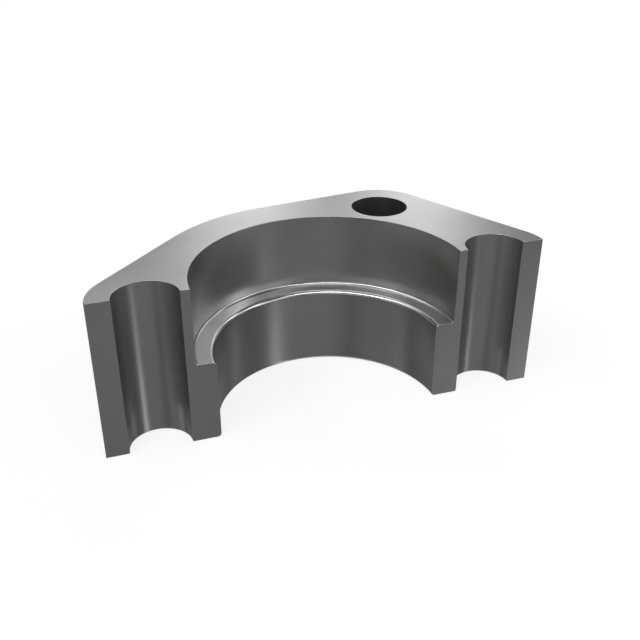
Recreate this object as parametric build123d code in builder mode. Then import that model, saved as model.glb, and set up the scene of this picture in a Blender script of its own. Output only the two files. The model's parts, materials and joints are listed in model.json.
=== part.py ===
from build123d import *

import os
from math import acos, atan2, degrees, hypot

# Cut-open half of a four-bolt hydraulic flange clamp, as one solid of steel.
#
# The whole clamp is a block with a rectangular bolt pattern, a through bore and a wider,
# deep recess above it. The half here is what lies behind a cut on the diagonal through two
# opposite bolt holes. Millimetres. The origin is on the bore's axis, in the cut face, at
# the underside. +X runs along the cut face, +Y into the steel and +Z towards the recess.

# Bolt pattern, a rectangle
bolt_pitch_long = 52.4
bolt_pitch_short = 26.2
bolt_hole_diameter = 10.3

# Outline
lug_radius = 9.0
flank_bulge_radius = 30.0
thickness = 28.0

# Seat for the pipe's collar, and the bore that the pipe passes through
recess_diameter = 45.2
recess_depth = 13.5
bore_diameter = 38.5

# Edge rounds
ledge_nose_round = 0.7
recess_floor_fillet = 0.4
bore_mouth_round = 0.7
bolt_hole_mouth_break = 0.3

# Where the lugs stand, and where the straight flanks touch the arcs
lug_x = bolt_pitch_long / 2
lug_y = bolt_pitch_short / 2
diagonal_angle = degrees(atan2(lug_y, lug_x))
flank_angle = diagonal_angle + degrees(acos((flank_bulge_radius - lug_radius) / hypot(lug_x, lug_y)))
ledge_height = thickness - recess_depth

# Plane of the bolt pattern, turned so that one diagonal of it lies along X
underside = Plane.XY.rotated((0, 0, diagonal_angle))
mouth_face = underside.offset(thickness)

# How near an edge's height and radius come to those of the rim that it is taken for
rim_tolerance = 0.001


def rims(part, radius, height):
    """Round edges of one radius at one height: the rims of the bore, recess or bolt holes."""
    circles = part.edges().filter_by(GeomType.CIRCLE)
    at_height = circles.filter_by(lambda edge: abs(edge.center().Z - height) < rim_tolerance)
    return at_height.filter_by(lambda edge: abs(edge.radius - radius) < rim_tolerance)


with BuildPart() as flange_half:
    # The block: four lugs joined by straight ends and by bulging flanks
    with BuildSketch(underside) as outline:
        with BuildLine() as quarter:
            lug = CenterArc((lug_x, lug_y), lug_radius, 0, flank_angle)
            bulge = CenterArc((0, 0), flank_bulge_radius, flank_angle, 90 - flank_angle)
            Line(lug @ 1, bulge @ 0)
            Line((lug_x + lug_radius, 0), lug @ 0)
            mirror(about=Plane.XZ)
            mirror(about=Plane.YZ)
        make_face()
    extrude(amount=thickness)

    # The pipe's way through, with the recess that holds its collar
    with Locations(mouth_face):
        CounterBoreHole(bore_diameter / 2, recess_diameter / 2, recess_depth)

    # The four bolt holes
    with Locations(mouth_face):
        with GridLocations(bolt_pitch_long, bolt_pitch_short, 2, 2):
            Hole(bolt_hole_diameter / 2)

    # The turned edges: the ledge's nose, the recess's foot and the bore's lower rim
    fillet(rims(flange_half.part, bore_diameter / 2, ledge_height), ledge_nose_round)
    fillet(rims(flange_half.part, recess_diameter / 2, ledge_height), recess_floor_fillet)
    fillet(rims(flange_half.part, bore_diameter / 2, 0), bore_mouth_round)
    fillet(rims(flange_half.part, bolt_hole_diameter / 2, 0), bolt_hole_mouth_break)

    # The cut, on the diagonal through two of the bolt holes
    split(bisect_by=Plane.XZ, keep=Keep.BOTTOM)

flange_half.part.label = "flange_half"
os.makedirs("parts", exist_ok=True)
export_step(flange_half.part, "parts/flange_half.step")

print(f"flange_half: {flange_half.part.volume:.0f} cubic mm, {flange_half.part.bounding_box().size}")
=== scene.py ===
# %% [markdown]
# # A hydraulic flange half in machined steel
#
# The object is one piece of steel: half of a flat flange clamp that holds the collar of a
# hydraulic pipe against a port. It was milled, bored and drilled as a whole clamp, and then
# cut in two on the diagonal through two of its bolt holes. Each step here first says what
# the feature is on the real object, then how it can be made in Blender, and why this way.
#
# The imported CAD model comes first, as a frame that nothing here moves. Its box and its
# mounts give most of the sizes, so the finer mesh fits the solid with no adjusting.

# %% Load the frame
import json
from math import acos, atan2, cos, degrees, hypot, pi, radians, sin, tan

import bmesh
import bpy
from mathutils import Matrix, Vector


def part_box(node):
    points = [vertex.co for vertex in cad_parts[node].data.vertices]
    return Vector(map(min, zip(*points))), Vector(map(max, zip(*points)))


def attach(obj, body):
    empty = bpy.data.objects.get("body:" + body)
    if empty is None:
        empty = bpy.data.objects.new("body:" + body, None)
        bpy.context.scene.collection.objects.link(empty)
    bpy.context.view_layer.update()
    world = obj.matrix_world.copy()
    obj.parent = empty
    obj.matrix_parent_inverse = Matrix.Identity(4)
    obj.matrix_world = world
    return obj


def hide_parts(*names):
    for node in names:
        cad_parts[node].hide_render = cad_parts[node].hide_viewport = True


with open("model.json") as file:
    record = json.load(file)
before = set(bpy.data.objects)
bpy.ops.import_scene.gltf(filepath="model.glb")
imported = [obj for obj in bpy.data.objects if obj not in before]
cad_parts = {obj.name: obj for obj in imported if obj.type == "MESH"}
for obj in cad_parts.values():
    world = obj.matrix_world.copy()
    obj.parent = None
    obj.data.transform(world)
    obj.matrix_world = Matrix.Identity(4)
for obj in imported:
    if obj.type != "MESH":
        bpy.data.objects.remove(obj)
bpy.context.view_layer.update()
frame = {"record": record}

# %% [markdown]
# ## Sizes
#
# A mount in the record says where a hole is and how wide, so those numbers are read and not
# typed again. The rest are the sizes that a mount doesn't hold: the flank's arc, the depth
# of the recess and the small rounds on the turned edges.

# %% Sizes read from the frame
MM = 0.001
mounts = {mount["name"]: mount for mount in frame["record"]["mounts"]}
bore_radius = mounts["pipe_bore"]["dims"]["r_mm"] * MM
recess_radius = mounts["collar_recess"]["dims"]["r_mm"] * MM
bolt_radius = mounts["bolt_hole"]["dims"]["r_mm"] * MM
whole_hole = Vector(mounts["bolt_hole"]["pos_m"][:2])
left_hole = Vector(mounts["half_bolt_hole_left"]["pos_m"][:2])
right_hole = Vector(mounts["half_bolt_hole_right"]["pos_m"][:2])
low_corner, high_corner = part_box("flange_half")
thickness = high_corner[2] - low_corner[2]
lug_radius = high_corner[0] - right_hole.x
print(f"thickness {thickness / MM:.1f} mm, lug radius {lug_radius / MM:.2f} mm")

# %% Sizes that no mount holds
flank_radius = 30.0 * MM
recess_depth = 13.5 * MM
ledge_height = thickness - recess_depth
nose_round = 0.7 * MM
foot_fillet = 0.4 * MM
bore_mouth_round = 0.7 * MM
hole_mouth_break = 0.3 * MM
edge_break = 0.05 * MM

# %% [markdown]
# ## Drawing with one point
#
# A turned part and a milled outline are both a path: straight runs, and arcs that leave them
# without a corner. Such a path could be typed as a list of points, but then nobody can read
# its radii. Here one vertex is the pen. `line_to` extrudes it to a new place and `arc_round`
# spins it about a centre, and both give back the vertex where the pen has stopped.

# %% The pen
ARC_STEP = radians(1.0)
SMALL_ROUND_STEPS = 8
HOLE_BREAK_STEPS = 4


def line_to(mesh, pen, place):
    """Extrudes the pen's vertex to a place."""
    pen = bmesh.ops.extrude_vert_indiv(mesh, verts=[pen])["verts"][0]
    pen.co = place
    return pen


def arc_round(mesh, pen, centre, angle, axis, steps):
    """Spins the pen's vertex about an axis through the centre, right-handed when positive."""
    made = bmesh.ops.spin(mesh, geom=[pen], cent=centre, axis=axis, angle=angle, steps=steps)
    return next(item for item in made["geom_last"] if isinstance(item, bmesh.types.BMVert))


# %% [markdown]
# ## The block
#
# Seen from above the clamp is four round lugs and a round middle, joined by straight lines
# that touch the circles. A line that touches two circles leaves both at the same angle,
# which is worked out once. The clamp is the same in all four quarters, so the pen draws one
# quarter, `mirror` makes the rest, and one face is filled in and extruded to the thickness.
# The pattern's own long side lies along X while it is drawn, and the block then turns until
# the cut's diagonal lies along X, as the frame has it.

# %% Draw a quarter of the outline
diagonal_angle = atan2(whole_hole.y, whole_hole.x) / 2
lug_centre = Vector((right_hole.x * cos(diagonal_angle), right_hole.x * sin(diagonal_angle), 0))
flank_angle = diagonal_angle + acos((flank_radius - lug_radius) / right_hole.x)
print(f"the flanks face {degrees(flank_angle):.2f} degrees from the long side")

UP = (0, 0, 1)
MIDDLE = (0, 0, 0)
end_x = lug_centre.x + lug_radius
bulge_turn = pi / 2 - flank_angle

block = bmesh.new()
pen = block.verts.new((end_x, 0, 0))
pen = line_to(block, pen, (end_x, lug_centre.y, 0))
pen = arc_round(block, pen, lug_centre, flank_angle, UP, round(flank_angle / ARC_STEP))
pen = line_to(block, pen, (flank_radius * cos(flank_angle), flank_radius * sin(flank_angle), 0))
pen = arc_round(block, pen, MIDDLE, bulge_turn, UP, round(bulge_turn / ARC_STEP))

# %% Mirror it, fill it and raise it
MERGE = 0.001 * MM
for side in ("X", "Y"):
    drawn = block.verts[:] + block.edges[:]
    bmesh.ops.mirror(block, geom=drawn, matrix=Matrix(), merge_dist=MERGE, axis=side)
bmesh.ops.remove_doubles(block, verts=block.verts, dist=MERGE)
outline = bmesh.ops.contextual_create(block, geom=block.edges[:])["faces"]
raised = bmesh.ops.extrude_face_region(block, geom=outline)["geom"]
lid = [item for item in raised if isinstance(item, bmesh.types.BMVert)]
bmesh.ops.translate(block, verts=lid, vec=(0, 0, thickness))
onto_the_diagonal = Matrix.Rotation(diagonal_angle, 3, "Z")
bmesh.ops.rotate(block, verts=block.verts, cent=MIDDLE, matrix=onto_the_diagonal)
bmesh.ops.recalc_face_normals(block, faces=block.faces)
print("block:", len(block.verts), "vertices,", len(block.faces), "faces")

# %% [markdown]
# ## The cutters
#
# On the real part a boring bar and a drill take the metal away, so each hole is made as the
# tool that cuts it: a profile from the axis out to the wall, spun into a solid, which a
# Boolean then takes out of the block. The rounds belong to the tool's profile. That keeps
# the ledge's nose and the recess's foot true arcs, where a bevel on the finished mesh would
# only be near. Each cutter stands a little proud of the block at both ends.

# %% Spin a profile into a cutter
CLEAR = 1.0 * MM
FULL_TURN_STEPS = round(2 * pi / ARC_STEP)
HOLE_STEPS = 120
ACROSS = (0, 1, 0)


def turn_cutter(draw, centre, steps):
    """A closed solid from a profile drawn in the XZ plane, spun about Z and moved to its centre."""
    cutter = bmesh.new()
    draw(cutter)
    profile = cutter.verts[:] + cutter.edges[:]
    bmesh.ops.spin(
        cutter, geom=profile, cent=MIDDLE, axis=UP, angle=2 * pi, steps=steps, use_merge=True,
    )
    bmesh.ops.remove_doubles(cutter, verts=cutter.verts, dist=MERGE)
    bmesh.ops.recalc_face_normals(cutter, faces=cutter.faces)
    bmesh.ops.translate(cutter, verts=cutter.verts, vec=(centre[0], centre[1], 0))
    return cutter


def draw_stepped_bore(cutter):
    """The recess, its foot, the ledge, the ledge's nose, the bore and the round of its mouth."""
    pen = cutter.verts.new((0, 0, thickness + CLEAR))
    pen = line_to(cutter, pen, (recess_radius, 0, thickness + CLEAR))
    pen = line_to(cutter, pen, (recess_radius, 0, ledge_height + foot_fillet))
    foot_centre = (recess_radius - foot_fillet, 0, ledge_height + foot_fillet)
    pen = arc_round(cutter, pen, foot_centre, pi / 2, ACROSS, SMALL_ROUND_STEPS)
    pen = line_to(cutter, pen, (bore_radius + nose_round, 0, ledge_height))
    nose_centre = (bore_radius + nose_round, 0, ledge_height - nose_round)
    pen = arc_round(cutter, pen, nose_centre, -pi / 2, ACROSS, SMALL_ROUND_STEPS)
    pen = line_to(cutter, pen, (bore_radius, 0, bore_mouth_round))
    mouth_centre = (bore_radius + bore_mouth_round, 0, bore_mouth_round)
    pen = arc_round(cutter, pen, mouth_centre, -pi / 2, ACROSS, SMALL_ROUND_STEPS)
    pen = line_to(cutter, pen, (bore_radius + bore_mouth_round, 0, -CLEAR))
    line_to(cutter, pen, (0, 0, -CLEAR))


def draw_drill(cutter):
    """A bolt hole, with the round that its lower mouth has."""
    pen = cutter.verts.new((0, 0, thickness + CLEAR))
    pen = line_to(cutter, pen, (bolt_radius, 0, thickness + CLEAR))
    pen = line_to(cutter, pen, (bolt_radius, 0, hole_mouth_break))
    mouth_centre = (bolt_radius + hole_mouth_break, 0, hole_mouth_break)
    pen = arc_round(cutter, pen, mouth_centre, -pi / 2, ACROSS, HOLE_BREAK_STEPS)
    pen = line_to(cutter, pen, (bolt_radius + hole_mouth_break, 0, -CLEAR))
    line_to(cutter, pen, (0, 0, -CLEAR))


# %% Take the cutters out of the block
def object_from(mesh, name):
    """Frees a bmesh into a new object in the scene."""
    data = bpy.data.meshes.new(name)
    mesh.to_mesh(data)
    mesh.free()
    made = bpy.data.objects.new(name, data)
    bpy.context.scene.collection.objects.link(made)
    return made


cutters = [object_from(turn_cutter(draw_stepped_bore, (0, 0), FULL_TURN_STEPS), "bore_cutter")]
for number, place in enumerate((right_hole, whole_hole, left_hole, -whole_hole)):
    cutters.append(object_from(turn_cutter(draw_drill, place, HOLE_STEPS), f"drill_{number}"))

flange = object_from(block, "flange_finish")
for cutter in cutters:
    cut = flange.modifiers.new(cutter.name, "BOOLEAN")
    cut.operation = "DIFFERENCE"
    cut.solver = "EXACT"
    cut.object = cutter
cut_flange = flange.evaluated_get(bpy.context.evaluated_depsgraph_get())
whole_clamp = bpy.data.meshes.new_from_object(cut_flange)
flange.modifiers.clear()
for cutter in cutters:
    bpy.data.objects.remove(cutter)
print("whole clamp:", len(whole_clamp.vertices), "vertices,", len(whole_clamp.polygons), "faces")

# %% [markdown]
# ## The cut
#
# The real clamp was sawn and ground on the diagonal. `bisect_plane` does the same: it cuts
# the mesh on a plane and drops one side. That leaves the mesh open along the cut, in four
# loops, and `holes_fill` closes each with a flat face.

# %% Cut the clamp in two
TOWARDS_THE_VIEWER = (0, -1, 0)

half = bmesh.new()
half.from_mesh(whole_clamp)
bmesh.ops.remove_doubles(half, verts=half.verts, dist=MERGE)
bmesh.ops.bisect_plane(
    half, geom=half.verts[:] + half.edges[:] + half.faces[:], plane_co=MIDDLE,
    plane_no=TOWARDS_THE_VIEWER, clear_outer=True, dist=MERGE,
)
bmesh.ops.holes_fill(half, edges=[edge for edge in half.edges if edge.is_boundary], sides=0)
bmesh.ops.recalc_face_normals(half, faces=half.faces)
open_edges = sum(edge.is_boundary for edge in half.edges)
print("half:", len(half.verts), "vertices,", len(half.faces), "faces,", open_edges, "open edges")

# %% [markdown]
# ## Which face has which finish
#
# Every surface is the same steel, but each tool leaves its own lay: a face mill on the two
# broad faces, an end mill on the sides, a boring bar in the bore and on the ledge, emery
# cloth on the turned rounds, a drill in the bolt holes, and a grinding wheel on the cut. The
# Boolean leaves straight seams in the flat faces, which `dissolve_limit` removes, and each
# face is then sorted by where it lies and which way it points. In the bore a wall points
# level and the ledge points straight up, so whatever points between them is a round.

# %% Sort the faces by finish
FINISHES = (
    "face_milled_steel", "side_milled_steel", "bored_steel", "polished_steel", "drilled_steel",
    "ground_steel",
)
# The share of a face's normal that lies along an axis
SQUARE_ON = 0.998
SIDE_ON = 0.05


def finish_of(face):
    """The name of the finish on a face of the half, from its place and where it points."""
    centre = face.calc_center_median()
    if face.normal.y < -SQUARE_ON and centre.y < edge_break:
        return "ground_steel"
    nearest_hole = min((centre.xy - hole).length for hole in (left_hole, right_hole, whole_hole))
    if nearest_hole < bolt_radius + hole_mouth_break:
        return "drilled_steel"
    if abs(face.normal.z) > SQUARE_ON and min(centre.z, thickness - centre.z) < edge_break:
        return "face_milled_steel"
    if centre.xy.length > recess_radius + edge_break:
        return "side_milled_steel"
    return "polished_steel" if SIDE_ON < abs(face.normal.z) < SQUARE_ON else "bored_steel"


FLAT = radians(0.05)
bmesh.ops.dissolve_limit(half, angle_limit=FLAT, verts=half.verts, edges=half.edges, delimit=set())
half.normal_update()
for face in half.faces:
    face.material_index = FINISHES.index(finish_of(face))
    face.smooth = True
for index, name in enumerate(FINISHES):
    area = sum(face.calc_area() for face in half.faces if face.material_index == index)
    print(f"{name}: {area / MM**2:.0f} square mm")

# %% [markdown]
# ## Edges
#
# Machined steel has no edge of zero width: a file or a stone takes a few hundredths of a
# millimetre off, and that thin strip is what catches the light. `bevel` gives every outward
# corner its break, and each new strip takes the finish of a face beside it. Inward corners
# are left alone, because a stone can't reach into them.

# %% Break the sharp edges
SHARP = radians(50)
outward_edges = [edge for edge in half.edges if edge.is_manifold and edge.is_convex]
sharp_edges = [edge for edge in outward_edges if edge.calc_face_angle() > SHARP]
bmesh.ops.bevel(
    half, geom=sharp_edges, offset=edge_break, offset_type="OFFSET", segments=2, profile=0.5,
    affect="EDGES", material=-1, clamp_overlap=True,
)
print(len(sharp_edges), "sharp edges broken;", len(half.faces), "faces")

# %% Shade it smooth, with the flat faces flat
half.to_mesh(flange.data)
half.free()
bpy.data.meshes.remove(whole_clamp)
flat_shading = flange.modifiers.new("flat_faces_stay_flat", "WEIGHTED_NORMAL")
flat_shading.mode = "FACE_AREA"
flat_shading.keep_sharp = True
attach(flange, "root")
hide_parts("flange_half")
print("flange:", len(flange.data.vertices), "vertices,", len(flange.data.polygons), "faces")

# %% [markdown]
# ## Steel
#
# The flange is plain carbon steel, machined all over and left bare under a film of oil. A
# metal has no colour but that of what it mirrors, and its base colour says how much of that
# comes back: over half from clean steel, and a bit under half from this oiled, finely scored
# steel. Its roughness says how far the mirror image is blurred. At 0.28 a lamp becomes a
# satin glow on a flat face and a soft upright band in a bore.
#
# The finishes share that steel and differ in their lay, the fine lines that a tool leaves
# along its path. A lay could be a picture, real grooves or a noise: a picture has seams, and
# grooves of a thousandth of a millimetre would take millions of faces, so a noise is used,
# short across the tool's path and long along it. It drives a bump, and the roughness too,
# because ridges are rubbed smoother than valleys. The real lines here are 0.05 to 0.2 mm
# apart, which is less than a pixel, so each lay is drawn three to five times as coarse.

# %% Colours and nodes
OPAQUE = 1.0


def colour(code):
    """A linear colour from an sRGB hex code, by the two pieces of the sRGB curve."""
    channels = [int(code[place:place + 2], 16) / 255 for place in (1, 3, 5)]
    linear = [c / 12.92 if c <= 0.04045 else ((c + 0.055) / 1.055) ** 2.4 for c in channels]
    return linear + [OPAQUE]


def add(tree, kind, settings=None, **inputs):
    """Adds a node with its settings, and fills its sockets by name, or by number as i0, i1."""
    node = tree.nodes.new(kind)
    for name, value in (settings or {}).items():
        setattr(node, name, value)
    for name, value in inputs.items():
        key = int(name[1:]) if name[1:].isdigit() else name.replace("_", " ")
        socket = node.inputs[key]
        if isinstance(value, bpy.types.NodeSocket):
            tree.links.new(value, socket)
        else:
            socket.default_value = value
    return node


# The settings of a maths node, for what several of them do
PLUS = {"operation": "ADD"}
MINUS = {"operation": "SUBTRACT"}
TIMES = {"operation": "MULTIPLY"}
LENGTH = {"operation": "LENGTH"}


def new_material(name):
    """An empty node material and its tree."""
    material = bpy.data.materials.new(name)
    material.use_nodes = True
    material.node_tree.nodes.clear()
    return material, material.node_tree


# %% Steel under any lay
STEEL_OILED = colour("#aaaaaa")
STEEL_WIPED = colour("#bcbcbc")
FILM_PATCH = 9 * MM
FILM_DETAIL = 3.0
LINE_DETAIL = 1.0
ROUGH_VALLEY = 0.284
ROUGH_RIDGE = 0.276
# What the two noises, each near a half, add up to in a valley and on a ridge
VALLEY = 0.65
RIDGE = 1.35


def machined_steel(name, lay, line_height, rough_share=1.0):
    """Steel under a lay: lay(tree, place) gives coordinates in which the lines lie 1 apart."""
    material, tree = new_material(name)
    place = add(tree, "ShaderNodeTexCoord").outputs["Object"]
    lines = add(
        tree, "ShaderNodeTexNoise", Vector=lay(tree, place), Scale=1.0, Detail=LINE_DETAIL,
    ).outputs[0]
    film = add(
        tree, "ShaderNodeTexNoise", Vector=place, Scale=1 / FILM_PATCH, Detail=FILM_DETAIL,
    ).outputs[0]
    tones = add(
        tree, "ShaderNodeMix", {"data_type": "RGBA"}, i0=film, i6=STEEL_OILED, i7=STEEL_WIPED,
    )
    rubbed = add(tree, "ShaderNodeMath", PLUS, i0=lines, i1=film).outputs[0]
    roughness = add(
        tree, "ShaderNodeMapRange", Value=rubbed, From_Min=VALLEY, From_Max=RIDGE,
        To_Min=ROUGH_VALLEY * rough_share, To_Max=ROUGH_RIDGE * rough_share,
    ).outputs[0]
    bump = add(tree, "ShaderNodeBump", Strength=1.0, Distance=line_height, Height=lines).outputs[0]
    steel = add(
        tree, "ShaderNodeBsdfPrincipled", Base_Color=tones.outputs[2], Metallic=1.0,
        Roughness=roughness, Normal=bump,
    )
    add(tree, "ShaderNodeOutputMaterial", Surface=steel.outputs[0])
    flange.data.materials.append(material)
    print(f"{name}: lines about {line_height / MM * 1000:.1f} thousandths of a millimetre high")


# %% [markdown]
# ### Milled faces
#
# The two broad faces were cut by a face mill, a disc of teeth that is wider than the part and
# is fed along it. Each turn leaves an arc, one feed beyond the last. To the eye that is a
# satin plane with a faint bow in its grain. The arcs are all one circle, shifted, so the
# distance along the feed to the circle through a point numbers the lines.

# %% Face-milled steel
MILL_RADIUS = 50 * MM
MILL_FEED = 0.6 * MM
LONG_RUN = 9 * MM


def arcs_of_a_face_mill(tree, place):
    """Shifted arcs, bowed along the clamp's long side."""
    turn = (0, 0, -diagonal_angle)
    turned = add(tree, "ShaderNodeMapping", Vector=place, Rotation=turn).outputs[0]
    along, across = add(tree, "ShaderNodeSeparateXYZ", Vector=turned).outputs[:2]
    square = add(tree, "ShaderNodeMath", TIMES, i0=across, i1=across).outputs[0]
    rest = add(tree, "ShaderNodeMath", MINUS, i0=MILL_RADIUS**2, i1=square).outputs[0]
    bow = add(tree, "ShaderNodeMath", {"operation": "SQRT"}, i0=rest).outputs[0]
    line = add(tree, "ShaderNodeMath", MINUS, i0=along, i1=bow).outputs[0]
    lines = add(tree, "ShaderNodeCombineXYZ", X=line, Y=across).outputs[0]
    scale = (1 / MILL_FEED, 1 / LONG_RUN, 1)
    return add(tree, "ShaderNodeVectorMath", TIMES, i0=lines, i1=scale).outputs[0]


machined_steel("face_milled_steel", arcs_of_a_face_mill, line_height=0.0007 * MM)

# %% [markdown]
# ### Milled sides
#
# The outside was cut by the flank of an end mill that stood upright. Each of its teeth
# leaves an upright line, so the sides have a fine grain from top to bottom that follows them
# round the lugs. A noise that is short in X and Y and long in Z does that on any upright
# wall, however it turns.

# %% Side-milled steel
END_MILL_FEED = 0.4 * MM


def upright_lines(tree, place):
    """Lines from the underside to the top, on walls of any direction."""
    scale = (1 / END_MILL_FEED, 1 / END_MILL_FEED, 1 / LONG_RUN)
    return add(tree, "ShaderNodeVectorMath", TIMES, i0=place, i1=scale).outputs[0]


machined_steel("side_milled_steel", upright_lines, line_height=0.0006 * MM)

# %% [markdown]
# ### Bored walls and the ledge
#
# The bore, the recess and the ledge between them were turned by one tool that fed along the
# axis or across it. Its lines are rings about the axis, so the bands that the walls mirror
# stay upright and keep crisp ends. Distance from the axis numbers the rings on the ledge,
# height numbers them on the walls, and the angle only lets each ring fade in and out.

# %% Bored steel
BORING_FEED = 0.3 * MM


def rings_about_the_bore(tree, place):
    """Rings, close together in radius and in height, and long in angle."""
    flat = add(tree, "ShaderNodeVectorMath", TIMES, i0=place, i1=(1, 1, 0)).outputs[0]
    radius = add(tree, "ShaderNodeVectorMath", LENGTH, i0=flat).outputs["Value"]
    x, y, z = add(tree, "ShaderNodeSeparateXYZ", Vector=place).outputs
    angle = add(tree, "ShaderNodeMath", {"operation": "ARCTAN2"}, i0=y, i1=x).outputs[0]
    rings = add(tree, "ShaderNodeCombineXYZ", X=radius, Y=angle, Z=z).outputs[0]
    scale = (1 / BORING_FEED, bore_radius / LONG_RUN, 1 / BORING_FEED)
    return add(tree, "ShaderNodeVectorMath", TIMES, i0=rings, i1=scale).outputs[0]


machined_steel("bored_steel", rings_about_the_bore, line_height=0.0004 * MM)

# %% [markdown]
# ### Polished rounds
#
# The ledge's nose, the fillet at its foot and the lower rim of the bore were turned to a
# radius and rubbed with emery cloth while the part still spun. To the eye each is a thin
# bright line: a round this small squeezes the whole studio into half a millimetre, and a
# smooth one keeps that image sharp. So the rings of the bore are all but gone here, and the
# roughness is a little under half of the bore's.

# %% Polished steel
EMERY_SHARE = 0.45

machined_steel(
    "polished_steel", rings_about_the_bore, line_height=0.0001 * MM, rough_share=EMERY_SHARE,
)

# %% [markdown]
# ### Drilled holes
#
# A twist drill feeds further in a turn than a boring bar does, and rubs as it goes, so the
# bolt holes have the coarser rings. They are level lines on an upright wall, so here the
# noise is short in Z and long in X and Y, and needs no axis of its own.

# %% Drilled steel
DRILL_FEED = 0.4 * MM


def level_lines(tree, place):
    """Level lines on upright walls of any direction."""
    scale = (1 / LONG_RUN, 1 / LONG_RUN, 1 / DRILL_FEED)
    return add(tree, "ShaderNodeVectorMath", TIMES, i0=place, i1=scale).outputs[0]


machined_steel("drilled_steel", level_lines, line_height=0.0006 * MM)

# %% [markdown]
# ### The ground cut
#
# The cut was ground flat after the saw. A grinding wheel leaves scratches that are short,
# straight and all one way, here along the cut. They are the finest lines on the part, and
# the eye reads them as a plain, even grey.

# %% Ground steel
GRIT_SPACING = 0.25 * MM
SCRATCH_RUN = 5 * MM


def scratches_along_the_cut(tree, place):
    """Short straight lines along X."""
    scale = (1 / SCRATCH_RUN, 1 / GRIT_SPACING, 1 / GRIT_SPACING)
    return add(tree, "ShaderNodeVectorMath", TIMES, i0=place, i1=scale).outputs[0]


machined_steel("ground_steel", scratches_along_the_cut, line_height=0.0003 * MM)
assert [material.name for material in flange.data.materials] == list(FINISHES)

# %% [markdown]
# ## Floor
#
# The part lies on a sheet of pale paper that fills the frame. Paper is matt, so a plain
# diffuse shader does. It could be lit until it turns white, but the steel would burn out
# with it. So the camera sees four fifths of the sheet as white of strength 1, whatever the
# lights do, and the last fifth as paper, which keeps the soft shadow round the part.
#
# The steel doesn't mirror the sheet. An upright wall mirrors what lies below the horizon,
# and white paper there turns each wall into one flat bright grey, where the real one is dark
# with soft bands. It mirrors the lower half of the studio instead, which has those bands.
# That is why `visible_glossy` is off for the sheet.

# %% Pale paper
FLOOR_HALF_SIZE = 3.0
WHITE_SHARE = 0.8
WHITE_STRENGTH = 1.0

floor_mesh = bmesh.new()
bmesh.ops.create_grid(floor_mesh, x_segments=1, y_segments=1, size=FLOOR_HALF_SIZE)
floor = object_from(floor_mesh, "floor")
floor.visible_glossy = False
material, tree = new_material("pale_paper")
paper = add(tree, "ShaderNodeBsdfDiffuse", Color=colour("#f5f5f5"))
seen = add(tree, "ShaderNodeLightPath").outputs["Is Camera Ray"]
share = add(tree, "ShaderNodeMath", TIMES, i0=seen, i1=WHITE_SHARE).outputs[0]
white = add(tree, "ShaderNodeEmission", Strength=WHITE_STRENGTH)
mixed = add(tree, "ShaderNodeMixShader", i0=share, i1=paper.outputs[0], i2=white.outputs[0])
add(tree, "ShaderNodeOutputMaterial", Surface=mixed.outputs[0])
floor.data.materials.append(material)
print("floor:", floor.dimensions.x, "m wide")

# %% [markdown]
# ## Light
#
# Steel looks like whatever stands round it, so the studio is drawn as what the steel mirrors.
# Lamps would do, but each would have to be placed, turned and sized in the room, and they
# would show in other views. Here they are soft boxes drawn in the world: each is a
# direction, a width, a height and a brightness that fades out over its edge.
#
# Where a box goes follows from the mirror rule. From the camera's side the top face mirrors
# what is behind the part and 20 to 27 degrees up, so two small boxes are there, and a wide
# one above them. The upright walls mirror what is 24 to 33 degrees down, so that zone is
# dark, with strips that make the upright bands. The ledge's nose and the fillet at its foot
# mirror the front and the left, 30 to 70 degrees up, and squeeze what is there into two thin
# lines. Two narrow, very bright boxes up there make those lines. The boxes on the right reach
# the camera only by a second bounce, inside the recess, and make the glow on the wall above
# the ledge's left half. One strip, low behind the part, is for the outer walls, which only
# other views show: it draws a soft band where they curve.
#
# Between the boxes the room is a dim grey, a shade lighter below the horizon. Straight below
# the part it glows, because that is what the round at the bore's lower rim mirrors.

# %% The studio
# Azimuth from +Y towards +X, elevation, half width and half height in degrees, and brightness
SOFTBOXES = {
    "right_wide": (113, 11, 46, 20.5, 1.2),
    "right_high": (109, 29, 13, 6, 2.5),
    "right_strip": (111, 15, 6.6, 23, 1.3),
    "left_front": (210, 4, 35, 7, 1.2),
    "left_high": (268, 43, 37, 8, 1.35),
    "back_left": (13.4, 19.5, 4.1, 5.9, 2.0),
    "back_right": (25.4, 16.7, 3.6, 7.2, 2.2),
    "back_wide": (41, 40.8, 36.5, 6, 2.85),
    "front_top": (204, 54, 40, 4, 11.5),
    "left_top": (281, 54, 21, 4, 4.5),
    "overhead": (0, 81, 42, 25, 0.3),
    "floor_strip": (137.4, -41.8, 4.7, 11.6, 1.25),
    "floor_front": (179.5, -28.5, 29, 10.6, 0.135),
    "floor_left": (248.5, -32.5, 18, 12, 0.104),
    "floor_far_left": (278.2, -41, 6, 10.7, 0.33),
    "floor_right": (81.2, -36.5, 7.4, 10.2, 0.17),
    "floor_behind": (0, -34, 54, 24, 0.066),
    "behind_strip": (352, -14, 4.5, 16, 0.55),
}
SOFT_EDGE = 0.6
ROOM_BELOW = 0.117
ROOM_ABOVE = 0.083
UNDERSIDE_GLOW = 0.55
HORIZON_BLEND = 0.17
GLOW_STARTS = -0.7
STRAIGHT_DOWN = -1.0

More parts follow.
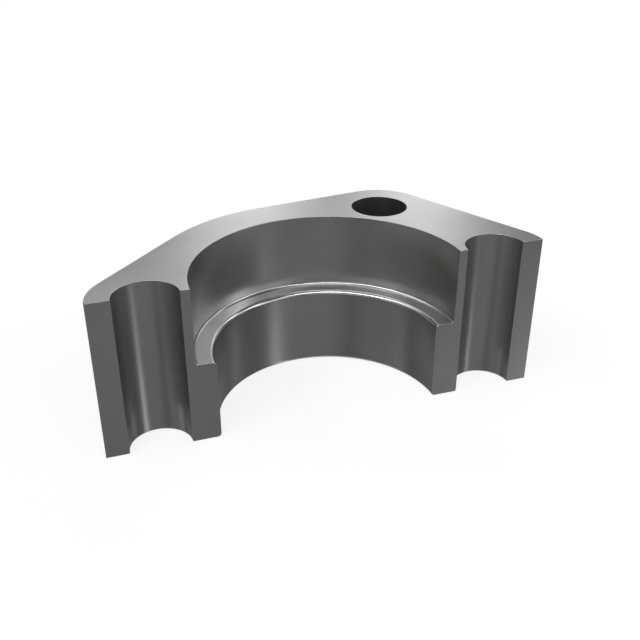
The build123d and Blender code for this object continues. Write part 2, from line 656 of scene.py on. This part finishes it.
# %% The room without its boxes
world = bpy.data.worlds.new("studio")
bpy.context.scene.world = world
world.use_nodes = True
world.node_tree.nodes.clear()
studio = world.node_tree
direction = add(studio, "ShaderNodeTexCoord").outputs["Generated"]
height = add(studio, "ShaderNodeSeparateXYZ", Vector=direction).outputs["Z"]
smooth_step = {"interpolation_type": "SMOOTHSTEP"}
room = add(
    studio, "ShaderNodeMapRange", smooth_step, Value=height, From_Min=-HORIZON_BLEND,
    From_Max=HORIZON_BLEND, To_Min=ROOM_BELOW, To_Max=ROOM_ABOVE,
).outputs[0]
glow = add(
    studio, "ShaderNodeMapRange", smooth_step, Value=height, From_Min=GLOW_STARTS,
    From_Max=STRAIGHT_DOWN, To_Min=0.0, To_Max=UNDERSIDE_GLOW,
).outputs[0]
light = add(studio, "ShaderNodeMath", PLUS, i0=room, i1=glow).outputs[0]
print(f"the room is {ROOM_BELOW} of white below the horizon and {ROOM_ABOVE} above it")


# %% Hang the soft boxes
def soft_box(azimuth, elevation, half_width, half_height, brightness):
    """What one box gives in each direction: an oval, full inside its soft edge and none outside."""
    # An azimuth runs from +Y clockwise, and a turn about Z from +X the other way
    turn = (0, -radians(elevation), radians(90 - azimuth))
    size = (1, tan(radians(half_width)), tan(radians(half_height)))
    turned = add(
        studio, "ShaderNodeMapping", {"vector_type": "TEXTURE"}, Vector=direction, Rotation=turn,
        Scale=size,
    ).outputs[0]
    ahead = add(studio, "ShaderNodeSeparateXYZ", Vector=turned).outputs["X"]
    on_the_box = add(studio, "ShaderNodeVectorMath", {"operation": "DIVIDE"}, i0=turned, i1=ahead)
    off_centre = add(studio, "ShaderNodeVectorMath", LENGTH, i0=on_the_box.outputs[0])
    # Divided so, a direction is 1 ahead, and at the box's edge it is 1 off centre too
    edge_near, edge_far = (hypot(1, 1 + side * SOFT_EDGE) for side in (-1, 1))
    oval = add(
        studio, "ShaderNodeMapRange", smooth_step, Value=off_centre.outputs["Value"],
        From_Min=edge_near, From_Max=edge_far, To_Min=brightness, To_Max=0.0,
    ).outputs[0]
    in_front = add(
        studio, "ShaderNodeMath", {"operation": "GREATER_THAN"}, i0=ahead, i1=0.0,
    ).outputs[0]
    return add(studio, "ShaderNodeMath", TIMES, i0=oval, i1=in_front).outputs[0]


for box in SOFTBOXES.values():
    light = add(studio, "ShaderNodeMath", PLUS, i0=light, i1=soft_box(*box)).outputs[0]
print(len(SOFTBOXES), "soft boxes")

# %% White behind the object
seen = add(studio, "ShaderNodeLightPath").outputs["Is Camera Ray"]
lit = add(studio, "ShaderNodeBackground", Color=colour("#ffffff"), Strength=light)
white = add(studio, "ShaderNodeBackground", Color=colour("#ffffff"), Strength=WHITE_STRENGTH)
both = add(studio, "ShaderNodeMixShader", i0=seen, i1=lit.outputs[0], i2=white.outputs[0])
add(studio, "ShaderNodeOutputWorld", Surface=both.outputs[0])
print("the camera sees white, and the steel sees the studio")

# %% [markdown]
# ## Camera
#
# The part is looked down on from its front left, near enough that the left leg looms. Where
# the camera stands was worked out from the part's corners, and so was the lens, because a
# longer lens from further off would draw the two legs at one size. The near clip comes
# closer than its default, for a part of this size. White stays white in the Standard view.

# %% Camera
camera_place = Vector((-39.98, -114.07, 84.43)) * MM
camera_aim = Vector((-1.91, 0, 19.17)) * MM
FOCAL_LENGTH = 47.32
SENSOR_WIDTH = 36
NEAR_CLIP = 10 * MM

camera = bpy.data.objects.new("camera", bpy.data.cameras.new("camera"))
bpy.context.scene.collection.objects.link(camera)
camera.location = camera_place
camera.rotation_euler = (camera_aim - camera_place).to_track_quat("-Z", "Y").to_euler()
camera.data.lens = FOCAL_LENGTH
camera.data.sensor_width = SENSOR_WIDTH
camera.data.clip_start = NEAR_CLIP
bpy.context.scene.camera = camera
bpy.context.scene.view_settings.view_transform = "Standard"
print(f"camera {(camera_aim - camera_place).length / MM:.0f} mm from what it looks at")
